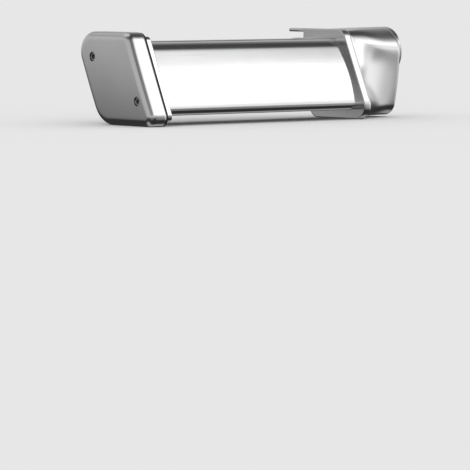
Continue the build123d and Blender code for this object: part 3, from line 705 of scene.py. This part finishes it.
def build_world():
    """Plain background for the camera, even light for the floor, and a studio seen in the metal."""
    world = bpy.data.worlds.new("studio")
    bpy.context.scene.world = world
    world.use_nodes = True
    tree = world.node_tree
    tree.nodes.clear()

    def add(kind, **values):
        node = tree.nodes.new(kind)
        for key, value in values.items():
            setattr(node, key, value)
        return node

    def math_node(operation, first, second):
        node = add("ShaderNodeMath", operation=operation)
        for socket, value in zip(node.inputs, (first, second)):
            if isinstance(value, (int, float)):
                socket.default_value = value
            else:
                tree.links.new(value, socket)
        return node.outputs[0]

    direction = add("ShaderNodeTexCoord").outputs["Generated"]

    def along(axis):
        node = add("ShaderNodeVectorMath", operation="DOT_PRODUCT")
        tree.links.new(direction, node.inputs[0])
        node.inputs[1].default_value = axis
        return node.outputs["Value"]

    def falloff(value, inside, outside):
        node = add("ShaderNodeMapRange")
        for socket, number in zip(node.inputs[1:5], (inside, outside, 1.0, 0.0)):
            socket.default_value = number
        tree.links.new(value, node.inputs["Value"])
        return node.outputs["Result"]

    ramp = add("ShaderNodeValToRGB")
    while len(ramp.color_ramp.elements) < len(ROOM):
        ramp.color_ramp.elements.new(0.5)
    for element, (place, brightness) in zip(ramp.color_ramp.elements, ROOM):
        element.position = place
        element.color = (brightness, brightness, brightness, 1)
    height = math_node("MULTIPLY", math_node("ADD", along((0, 0, 1)), 1.0), 0.5)
    tree.links.new(height, ramp.inputs["Fac"])
    total = ramp.outputs["Color"]

    def panel_shape(centre, half_width, fade_width, half_height, fade_height):
        """Soft-edged rectangle round a direction, 1 inside and 0 outside."""
        forward = Vector(centre).normalized()
        across = forward.cross(Vector((0, 0, 1))).normalized()
        up = across.cross(forward)
        ahead = math_node("MAXIMUM", along(forward), 0.01)
        u = math_node("ABSOLUTE", math_node("DIVIDE", along(across), ahead), 0.0)
        v = math_node("ABSOLUTE", math_node("DIVIDE", along(up), ahead), 0.0)
        inside = math_node("MULTIPLY", falloff(u, half_width, half_width + fade_width),
                           falloff(v, half_height, half_height + fade_height))
        return math_node("POWER", inside, 2.0)

    for *place, strength in LIGHT_PANELS:
        total = math_node("ADD", total, math_node("MULTIPLY", panel_shape(*place), strength))
    for *place, share in FLAGS:
        shade = math_node("MULTIPLY", panel_shape(*place), share)
        total = math_node("MULTIPLY", total, math_node("SUBTRACT", 1.0, shade))
    reflection = add("ShaderNodeBackground")
    tree.links.new(total, reflection.inputs["Color"])
    even = add("ShaderNodeBackground")
    even.inputs["Color"].default_value = (1, 1, 1, 1)
    plain = add("ShaderNodeBackground")
    plain.inputs["Color"].default_value = (BACKGROUND, BACKGROUND, BACKGROUND, 1)
    path = add("ShaderNodeLightPath")
    lit = add("ShaderNodeMixShader")
    tree.links.new(path.outputs["Is Glossy Ray"], lit.inputs["Fac"])
    tree.links.new(even.outputs[0], lit.inputs[1])
    tree.links.new(reflection.outputs[0], lit.inputs[2])
    seen = add("ShaderNodeMixShader")
    tree.links.new(path.outputs["Is Camera Ray"], seen.inputs["Fac"])
    tree.links.new(lit.outputs[0], seen.inputs[1])
    tree.links.new(plain.outputs[0], seen.inputs[2])
    tree.links.new(seen.outputs[0], add("ShaderNodeOutputWorld").inputs["Surface"])


# Camera: a long lens from the front left, the machine in the upper part of the frame.
VIEW_ROUND = math.radians(37.4)          # how far to the left of the front
VIEW_ABOVE = math.radians(1.91)
VIEW_DISTANCE = 2.2
SENSOR_WIDTH = 36                        # millimetres, as the lens is
FAR_CLIP = 60
FRAME_SPAN = 0.296717                    # metres across the frame at the seam's distance
SEAM_ACROSS = -0.2262                    # where the seam's middle falls, as shares of the frame
SEAM_UP = 0.3335


def build_camera():
    """Camera turned so that the middle of the end cap's seam falls where the framing asks."""
    forward = Vector((math.sin(VIEW_ROUND) * math.cos(VIEW_ABOVE),
                      math.cos(VIEW_ROUND) * math.cos(VIEW_ABOVE), -math.sin(VIEW_ABOVE)))
    seam = Vector((seam_x, 0, mid_height))
    place = seam - forward * VIEW_DISTANCE
    right = forward.cross(Vector((0, 0, 1))).normalized()
    up = right.cross(forward)
    focal = VIEW_DISTANCE / FRAME_SPAN
    yaw = math.atan2(SEAM_ACROSS, focal)
    forward, right = (forward * math.cos(yaw) - right * math.sin(yaw),
                      right * math.cos(yaw) + forward * math.sin(yaw))
    pitch = math.atan2(SEAM_UP, math.hypot(focal, SEAM_ACROSS))
    forward, up = (forward * math.cos(pitch) - up * math.sin(pitch),
                   up * math.cos(pitch) + forward * math.sin(pitch))
    lens = bpy.data.cameras.new("camera")
    lens.sensor_width = SENSOR_WIDTH
    lens.lens = SENSOR_WIDTH * focal
    lens.clip_end = FAR_CLIP
    camera = bpy.data.objects.new("camera", lens)
    bpy.context.scene.collection.objects.link(camera)
    turn = Matrix((right, up, -forward)).transposed().to_4x4()
    camera.matrix_world = Matrix.Translation(place) @ turn
    bpy.context.scene.camera = camera


build_floor()
build_world()
build_camera()
